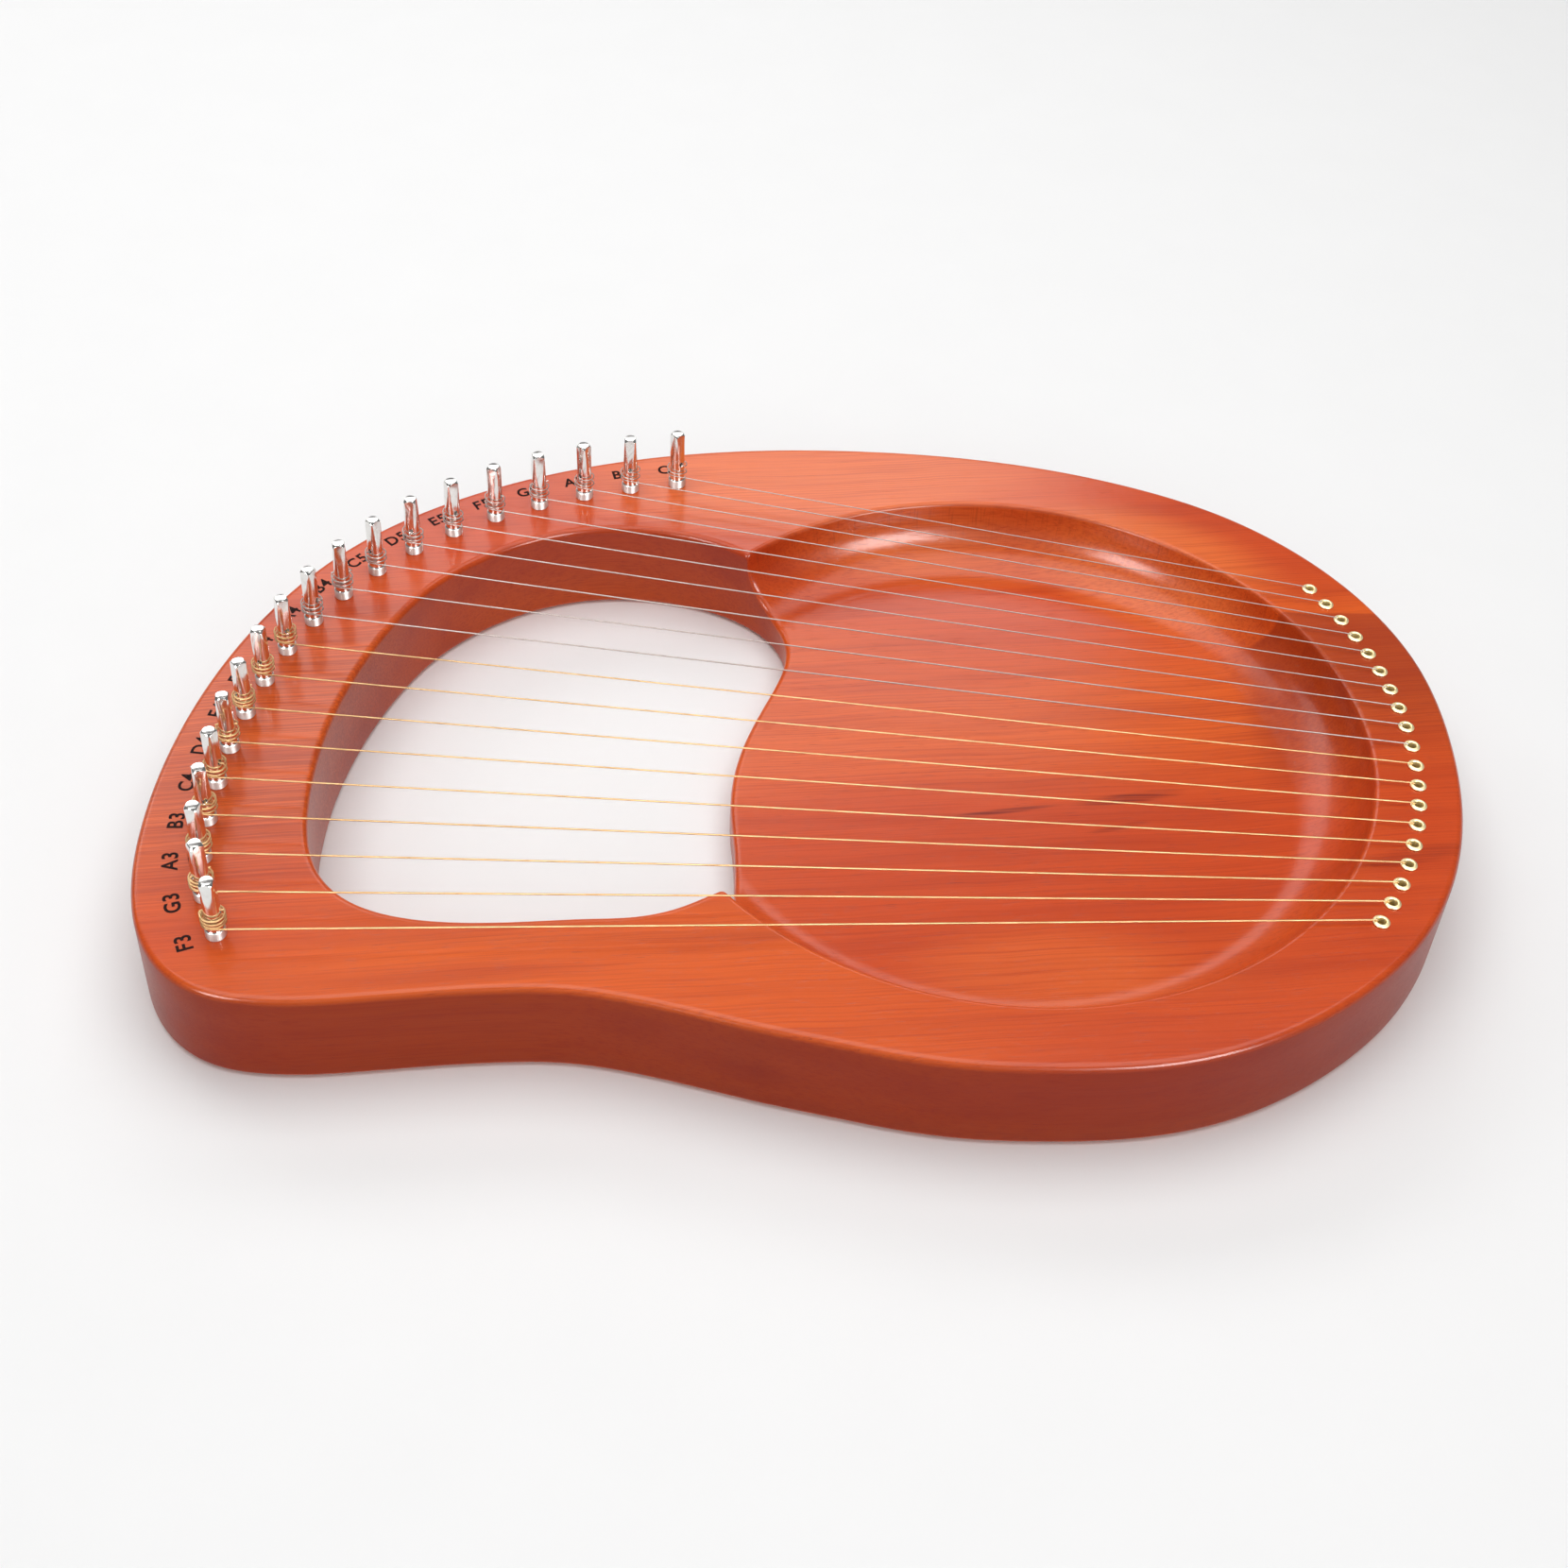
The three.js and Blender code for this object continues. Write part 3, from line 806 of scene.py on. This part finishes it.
def span_path(index):
    """From the coil over the eyelet's flange, round into its hole and down to the ball end."""
    radius, pin, hole, wrap, leave = string_layout(index)
    start = round_point(pin, wrap, leave, BOARD_TOP + STRING_LEAVE_HEIGHT)
    outward = (hole - start[:2]) / np.linalg.norm(hole - start[:2])
    bend = EYELET_CREST_RADIUS - EYELET_HOLE_RADIUS + radius + 0.08
    crest_height = BOARD_TOP + EYELET_CREST_HEIGHT + radius + CREST_GAP
    crest = np.array([*(hole - EYELET_CREST_RADIUS * outward), crest_height])
    direction = crest - start
    direction /= np.linalg.norm(direction)
    slope = math.atan2(-direction[2], np.linalg.norm(direction[:2]))
    path = [start - direction * 0.15, start + (crest - start) * 0.5, crest - direction * 0.6]
    for angle in np.linspace(slope, math.pi / 2, 10):
        forward = bend * (math.sin(angle) - math.sin(slope))
        drop = bend * (math.cos(slope) - math.cos(angle))
        path.append(np.array([*(crest[:2] + outward * forward), crest_height - drop]))
    down = path[-1]
    path.append(down - (0, 0, EYELET_SEAT_DEPTH))
    path.append(np.array([*hole, BALL_POCKET_DEPTH + 1]))
    path.append(np.array([*hole, ball_height() + BALL_GROOVE_RADIUS]))
    return np.array(path)


def ball_height():
    return BALL_POCKET_DEPTH - BALL_RADIUS - BALL_CLEARANCE


def ball_end(index):
    """The brass spool that stops the string below the board, and the loop of wire round its groove."""
    groove, rim, half = BALL_GROOVE_RADIUS, BALL_RADIUS, BALL_HALF_LENGTH
    bore = 0.6
    profile = [(bore, -half), (rim - 0.2, -half), (rim, 0.2 - half), (rim, -0.6), (groove, -0.4)]
    profile += [(groove, 0.4), (rim, 0.6), (rim, half - 0.2), (rim - 0.2, half), (bore, half)]
    points, faces = lathe(profile, HOLE_SEGMENTS, closed=True)
    centre = np.array([*EYELET_PLACES[index], ball_height()])
    loop_radius = min(string_radius(index), 0.38)
    middle = groove + loop_radius
    loop = [(middle + loop_radius * math.cos(a), loop_radius * math.sin(a))
            for a in FULL_TURN * np.arange(10) / 10]
    ring, ring_faces = lathe(loop, HOLE_SEGMENTS, closed=True)
    on_side = [0, 2, 1]
    spool = points[:, on_side] * (1, -1, 1) + centre
    return (spool, faces), (ring[:, on_side] * (1, -1, 1) + centre, ring_faces)


# ---- Note names ----


def outward_frame(index):
    """The direction in which the pins' line runs at a pin, towards the higher notes, and its left side."""
    before, after = PIN_PLACES[max(index - 1, 0)], PIN_PLACES[min(index + 1, len(NOTES) - 1)]
    along = Vector((*(after - before), 0)).normalized()
    return along, Vector((-along.y, along.x, 0))


def label_mesh():
    """The name of each string's pitch beside its pin, as thin dark marks in the top face."""
    soup = Soup()
    for index, note in enumerate(NOTES):
        curve = bpy.data.curves.new("label", "FONT")
        curve.body = note
        curve.align_x = "CENTER"
        curve.align_y = "CENTER"
        curve.size = LABEL_CAP_HEIGHT / CAP_SHARE * MM
        curve.space_character = 1.12
        curve.extrude = LABEL_RELIEF * MM
        curve.offset = LABEL_WEIGHT * MM
        curve.resolution_u = 4
        along, outward = outward_frame(index)
        lag = LABEL_LAG * index / (len(NOTES) - 1)
        place = Vector((*PIN_PLACES[index], BOARD_TOP)) + outward * LABEL_OFFSET - along * lag
        turn = Matrix((along, outward, (0, 0, 1))).transposed().to_4x4()
        mesh = applied(temporary(curve))
        mesh.transform(Matrix.Translation(place * MM) @ turn @ Matrix.Diagonal((LABEL_WIDTH, 1, 1, 1)))
        soup.add([v.co / MM for v in mesh.vertices], [tuple(p.vertices) for p in mesh.polygons])
    return soup.mesh("note_names", weld=0.0005, sharp_angle=30)


# ---- Materials ----


class Paint:
    """A material under construction. Its call adds a node and wires sockets or values to its inputs."""

    def __init__(self, name):
        self.material = bpy.data.materials.new(name)
        self.material.use_nodes = True
        self.nodes = self.material.node_tree.nodes
        self.links = self.material.node_tree.links
        self.surface = self.nodes["Principled BSDF"]

    def __call__(self, kind, inputs=None, **settings):
        node = self.nodes.new("ShaderNode" + kind)
        for key, value in settings.items():
            setattr(node, key, value)
        self.wire(node, inputs or {})
        return node

    def wire(self, node, inputs):
        for key, value in inputs.items():
            if isinstance(value, bpy.types.NodeSocket):
                self.links.new(value, node.inputs[key])
            elif value is not None:
                node.inputs[key].default_value = value

    def math(self, operation, a, b=None):
        return self("Math", {0: a, 1: b}, operation=operation).outputs[0]

    def times(self, a, b):
        return self.math("MULTIPLY", a, b)

    def noise(self, vector, scale, detail=2.0, roughness=0.5):
        inputs = {"Vector": vector, "Scale": scale, "Detail": detail, "Roughness": roughness}
        return self("TexNoise", inputs).outputs["Fac"]

    def ramp(self, value, low, high):
        """Smoothly from 0 below the low value to 1 above the high value."""
        inputs = {"Value": value, "From Min": low, "From Max": high}
        return self("MapRange", inputs, interpolation_type="SMOOTHSTEP").outputs[0]

    def streak(self, place, start, end, width):
        """1 on a long thin spot between two points of the plan, in millimetres, fading to 0 round it."""
        start, end = Vector(start) * MM, Vector(end) * MM
        reach = end - start
        inputs = {"Vector": place, "Location": (*((start + end) / 2), 0),
                  "Rotation": (0, 0, math.atan2(reach.y, reach.x)),
                  "Scale": (reach.length / 2, width * MM / 2, 1)}
        local = self("Mapping", inputs, vector_type="TEXTURE").outputs[0]
        flat = self("VectorMath", {0: local, 1: (1, 1, 0)}, operation="MULTIPLY").outputs[0]
        away = self("VectorMath", {0: flat}, operation="LENGTH").outputs["Value"]
        return self.math("SUBTRACT", 1, self.ramp(away, 0.35, 1.0))

    def mix(self, share, a, b):
        node = self("Mix", data_type="RGBA")
        self.wire(node, {0: share, 6: a, 7: b})
        return node.outputs[2]

    def stretched(self, vector, scale, turn=(0, 0, 0)):
        return self("Mapping", {"Vector": vector, "Scale": scale, "Rotation": turn}).outputs[0]

    def bump(self, height, strength, distance, onto=None):
        inputs = {"Height": height, "Strength": strength, "Distance": distance, "Normal": onto}
        return self("Bump", inputs).outputs[0]

    def finish(self, **inputs):
        self.wire(self.surface, {key.replace("_", " ").title().replace("Ior", "IOR"): value
                                 for key, value in inputs.items()})
        return self.material


def colour(red, green, blue):
    return (red, green, blue, 1)


def wood_material():
    """Mahogany under a satin stain: long grain along X, pores, dark streaks, and painted shade that darkens
    the upright walls.
    """
    paint = Paint("stained_wood")
    place = paint("TexCoord").outputs["Object"]
    grain = paint.stretched(place, (1, 1, 1), (0, 0, math.radians(-5)))

    wander = paint.noise(paint.stretched(place, (1, 0.3, 1)), 14, 2.0)
    wave = paint("CombineXYZ", {1: paint.times(wander, 0.006)}).outputs[0]
    fibres = paint("VectorMath", {0: grain, 1: wave}, operation="ADD").outputs[0]
    tone = paint.noise(paint.stretched(fibres, (0.30, 1, 1)), 11, 2.0)
    bands = paint.noise(paint.stretched(fibres, (0.07, 1, 1)), 95, 3.0, 0.55)
    fibre = paint.noise(paint.stretched(fibres, (0.012, 1, 1)), 1500, 3.0, 0.65)
    pores = paint.ramp(paint.noise(paint.stretched(fibres, (0.05, 1, 1)), 3200, 1.0), 0.64, 0.76)
    streaks = paint.ramp(paint.noise(paint.stretched(fibres, (0.08, 1, 1)), 30, 2.0), 0.68, 0.82)

    orange = colour(0.720, 0.112, 0.012)
    red = colour(0.600, 0.068, 0.010)
    deep = colour(0.360, 0.026, 0.006)
    dark = colour(0.150, 0.010, 0.005)
    base = paint.mix(paint.ramp(tone, 0.36, 0.66), orange, red)
    base = paint.mix(paint.times(paint.ramp(bands, 0.42, 0.75), 0.38), base, deep)
    base = paint.mix(paint.times(paint.ramp(fibre, 0.42, 0.74), 0.42), base, deep)
    base = paint.mix(paint.times(streaks, 0.40), base, dark)
    base = paint.mix(paint.times(pores, 0.34), base, dark)
    # The pale patches are part thin stain and part painted light and sheen.
    pale = colour(0.93, 0.230, 0.045)
    for spots, low, high, tint in ((WOOD_STREAKS, 0.25, 0.60, dark), (PALE_PATCHES, 1.05, 0.25, pale)):
        for start, end, width, depth in spots:
            spot = paint.times(paint.streak(place, start, end, width), paint.ramp(fibre, low, high))
            base = paint.mix(paint.times(spot, depth), base, tint)
    axes = paint("SeparateXYZ", {0: place})
    seam_x, seam_y = SEAM_START
    far, near = DARK_BOARD_FADE
    along_seam = paint.ramp(axes.outputs[0], seam_x * MM, (seam_x + SEAM_FADE_IN) * MM)
    below_seam = paint.ramp(axes.outputs[1], seam_y * MM, (seam_y - SEAM_WIDTH) * MM)
    fade_out = paint.ramp(axes.outputs[1], (seam_y - far) * MM, (seam_y - near) * MM)
    dark_board = paint.times(paint.times(along_seam, below_seam), fade_out)
    base = paint.mix(paint.times(dark_board, 0.62), base, colour(0.300, 0.028, 0.008))

    edge = paint("Attribute", attribute_name="edge").outputs["Fac"]
    edge_patchy = paint.times(edge, paint.ramp(paint.noise(place, 45, 3.0), 0.30, 0.70))
    base = paint.mix(paint.times(edge_patchy, 0.14), base, colour(0.72, 0.14, 0.015))

    cove = paint("Attribute", attribute_name="cove").outputs["Fac"]
    from_centre = [paint.math("SUBTRACT", axes.outputs[k], DISH_CENTRE[k] * MM) for k in range(2)]
    around = paint.times(paint.math("ARCTAN2", from_centre[1], from_centre[0]), DISH_RADIUS * MM)
    tool_place = paint("CombineXYZ", {0: around, 1: paint.times(axes.outputs[2], 0.06)}).outputs[0]
    tool_marks = paint.ramp(paint.noise(tool_place, 1500, 2.0), 0.52, 0.72)
    marked = paint.times(paint.times(tool_marks, paint.ramp(cove, 0.72, 0.98)), 0.24)
    base = paint.mix(marked, base, colour(0.24, 0.028, 0.008))

    # Painted shade: the upright walls outside the dish are darkened in colour for the shade they stand in, the
    # opening's walls a little less; they also get less coat.
    walls = paint("Attribute", attribute_name="wall").outputs["Fac"]
    base = paint.mix(paint.times(walls, 0.68), base, colour(0.20, 0.006, 0.002))

    relief = paint.math("SUBTRACT", paint.times(fibre, 0.35), pores)
    bumped = paint.bump(relief, 0.25, 0.00006)
    orange_peel = paint.bump(paint.noise(place, 260, 1.0), 0.12, 0.0003, bumped)
    rough = paint.math("ADD", 0.26, paint.times(fibre, 0.10))
    return paint.finish(
        base_color=base, roughness=rough, normal=orange_peel, specular_ior_level=0.12,
        coat_weight=paint.math("SUBTRACT", 0.58, paint.times(walls, 0.52)), coat_roughness=0.19,
        coat_normal=orange_peel,
    )


def metal_material(name, tint, dark, roughness, scratch_scale, scratch_stretch, dull_below=None):
    """Bright metal with fine scratches, faint dulling in patches and perhaps a duller foot."""
    paint = Paint(name)
    place = paint("TexCoord").outputs["Object"]
    scratches = paint.noise(paint.stretched(place, scratch_stretch), scratch_scale, 4.0, 0.65)
    patches = paint.noise(place, 400, 3.0)
    dull = paint.ramp(patches, 0.45, 0.75)
    base = paint.mix(paint.times(dull, 0.35), colour(*tint), colour(*dark))
    rough = paint.math("ADD", roughness, paint.times(scratches, 0.12))
    if dull_below:
        height = paint("SeparateXYZ", {0: place}).outputs[2]
        foot = paint.ramp(height, (dull_below + 0.2) * MM, dull_below * MM)
        rough = paint.math("ADD", rough, paint.times(foot, 0.26))
    return paint.finish(
        base_color=base, metallic=1.0, roughness=paint.math("ADD", rough, paint.times(dull, 0.08)),
        normal=paint.bump(scratches, 0.15, 0.00002),
    )


def wound_material():
    """A brass-coloured winding: a fine helix in the surface, with painted shade as dark lines between its
    turns.
    """
    paint = Paint("wound_wire")
    turn_pitch = 0.24  # millimetres of string for each turn of the winding
    axes = paint("SeparateXYZ", {0: paint("TexCoord").outputs["UV"]})
    turns = paint.math("ADD", paint.math("DIVIDE", axes.outputs[0], turn_pitch), axes.outputs[1])
    wave = paint.math("ABSOLUTE", paint.math("SINE", paint.times(turns, math.pi)))
    gaps = paint.math("SUBTRACT", 1, paint.ramp(wave, 0.0, 0.5))
    tone = paint.noise(paint("TexCoord").outputs["Object"], 120, 3.0)
    base = paint.mix(paint.ramp(tone, 0.35, 0.70), colour(0.71, 0.48, 0.24), colour(0.58, 0.37, 0.17))
    # Painted shade: the grooves between the turns are darkened in colour.
    base = paint.mix(paint.times(gaps, 0.4), base, colour(0.30, 0.14, 0.05))
    return paint.finish(
        base_color=base, metallic=1.0, roughness=paint.math("ADD", 0.26, paint.times(tone, 0.10)),
        normal=paint.bump(wave, 0.5, 0.00005),
    )


def label_material():
    """Scorched marks: near black, matt, a little browner where the burn is light."""
    paint = Paint("scorched_mark")
    char = paint.noise(paint("TexCoord").outputs["Object"], 1500, 3.0)
    base = paint.mix(paint.ramp(char, 0.35, 0.75), colour(0.010, 0.004, 0.003), colour(0.034, 0.008, 0.005))
    return paint.finish(base_color=base, roughness=0.6, specular_ior_level=0.1,
                        normal=paint.bump(char, 0.3, 0.00005))


WOOD = wood_material()
NICKEL = metal_material("nickel", (0.80, 0.79, 0.77), (0.62, 0.60, 0.58), 0.06, 3000, (1, 1, 0.08),
                        dull_below=PIN_THREAD_END)
BRASS = metal_material("eyelet_brass", (1.00, 0.88, 0.54), (0.94, 0.74, 0.40), 0.40, 3500, (1, 1, 1))
STEEL = metal_material("plain_wire", (0.47, 0.41, 0.38), (0.35, 0.30, 0.28), 0.30, 5000, (1, 1, 1))
WINDING = wound_material()
SCORCH = label_material()

# ---- The pieces ----

wood = board_mesh()
add_wood_attributes(wood)
shown("harp_wood", wood, "harp", [WOOD], "harp_body")
shown("note_names", label_mesh(), "harp", [SCORCH])

pin_shape = pin_mesh()
eyelet_shape = eyelet_mesh()
for number, note_name in enumerate(NOTES):
    is_wound = number < WOUND_STRINGS
    wire = WINDING if is_wound else STEEL
    node = f"string_{note_name}"

    pin_spot = Vector((*PIN_PLACES[number], BOARD_TOP)) * MM
    pin_turn = Matrix.Rotation(math.radians(PIN_TURN_STEP * number), 4, "Z")
    shown(f"pin_{note_name}", pin_shape, f"pin_{note_name}", [NICKEL],
          f"tuning_pin_{note_name}", Matrix.Translation(pin_spot) @ pin_turn)

    eyelet_spot = Vector((*EYELET_PLACES[number], BOARD_TOP)) * MM
    shown(f"eyelet_ring_{note_name}", eyelet_shape, "harp", [BRASS],
          f"eyelet_{note_name}", Matrix.Translation(eyelet_spot))

    coil_wire = wire_mesh(Soup(), coil_path(number), string_radius(number), f"coil_{note_name}")
    shown(f"coil_{note_name}", coil_wire, f"pin_{note_name}", [wire], node)

    span_soup = Soup()
    spool, wire_loop = ball_end(number)
    span_soup.add(*spool, material=1)
    span_soup.add(*wire_loop, material=0)
    span_wire = wire_mesh(span_soup, span_path(number), string_radius(number), f"span_{note_name}")
    shown(f"span_{note_name}", span_wire, "harp", [wire, BRASS], node)

# ---- Floor, light and camera ----


def add_floor():
    """A plain pale floor that rises far behind the harp, as one smooth sheet."""
    half, back, rise = 4.0, 3.0, 2.0
    soup = Soup()
    section = [(-half, 0), (back, 0)] + [(back + rise * math.sin(a), rise * (1 - math.cos(a)))
                                         for a in np.linspace(0.15, math.pi / 2, 10)] + [(back + rise, 5)]
    points = [(x / MM, y / MM, z / MM) for y, z in section for x in (-half, half)]
    faces = [(2 * k, 2 * k + 1, 2 * k + 3, 2 * k + 2) for k in range(len(section) - 1)]
    soup.add(points, faces)
    mesh = soup.mesh("floor")
    paint = Paint("pale_floor")
    speck = paint.noise(paint("TexCoord").outputs["Object"], 30, 2.0)
    mesh.materials.append(paint.finish(
        base_color=paint.mix(speck, colour(0.84, 0.84, 0.84), colour(0.86, 0.86, 0.86)), roughness=0.7))
    floor = bpy.data.objects.new("floor", mesh)
    floor.location.z = -0.0003
    bpy.context.scene.collection.objects.link(floor)


def add_softbox(name, place, size, radiance, on_matt=True, in_gloss=True):
    """A rectangular lamp that faces the harp. Its power follows from its size and how bright its face is.
    It may be kept off matt surfaces, so that it only shows as a highlight, or kept out of highlights."""
    lamp = bpy.data.lights.new(name, "AREA")
    lamp.shape = "RECTANGLE"
    lamp.size, lamp.size_y = size
    lamp.energy = radiance * math.pi * size[0] * size[1]
    light = bpy.data.objects.new(name, lamp)
    light.location = place
    light.rotation_euler = (-Vector(place)).to_track_quat("-Z", "Y").to_euler()
    light.visible_diffuse, light.visible_glossy = on_matt, in_gloss
    bpy.context.scene.collection.objects.link(light)


def add_world(strength):
    world = bpy.data.worlds.new("studio")
    world.use_nodes = True
    background = world.node_tree.nodes["Background"]
    background.inputs["Color"].default_value = colour(1.0, 0.99, 0.98)
    background.inputs["Strength"].default_value = strength
    bpy.context.scene.world = world


CAMERA_PLACE = (-0.0424, -0.44875, 0.4394)
CAMERA_PITCH, CAMERA_ROLL = 48.85, 0.67  # degrees: the pitch is from straight down
CAMERA_LENS, CAMERA_SENSOR = 48.74, 36
CAMERA_SHIFT = 0.0783


def add_camera():
    """Above the player's side of the harp, looking down at about forty degrees."""
    camera = bpy.data.cameras.new("camera")
    camera.lens = CAMERA_LENS
    camera.sensor_width = CAMERA_SENSOR
    camera.shift_x, camera.shift_y = CAMERA_SHIFT, -CAMERA_SHIFT
    camera.clip_start = 0.01
    holder = bpy.data.objects.new("camera", camera)
    pitch, roll = math.radians(CAMERA_PITCH), math.radians(CAMERA_ROLL)
    place = Matrix.Translation(CAMERA_PLACE)
    holder.matrix_world = place @ Matrix.Rotation(pitch, 4, "X") @ Matrix.Rotation(roll, 4, "Z")
    bpy.context.scene.collection.objects.link(holder)
    bpy.context.scene.camera = holder


add_floor()
add_world(0.18)
add_softbox("overhead", (0.00, 0.10, 1.40), (1.80, 1.40), 2.35)
add_softbox("back", (-0.28, 1.20, 1.00), (1.45, 0.42), 2.8)
add_softbox("back_left", (-1.00, 0.85, 0.75), (0.50, 0.40), 2.6)
add_softbox("front", (0.10, -1.25, 0.85), (1.20, 0.90), 1.6, in_gloss=False)
add_softbox("front_right", (0.74, -1.03, 0.66), (0.60, 0.55), 19, on_matt=False)
add_softbox("front_left", (-0.83, -0.92, 0.70), (0.40, 0.50), 18, on_matt=False)
add_camera()
bpy.context.scene.view_settings.view_transform = "Standard"
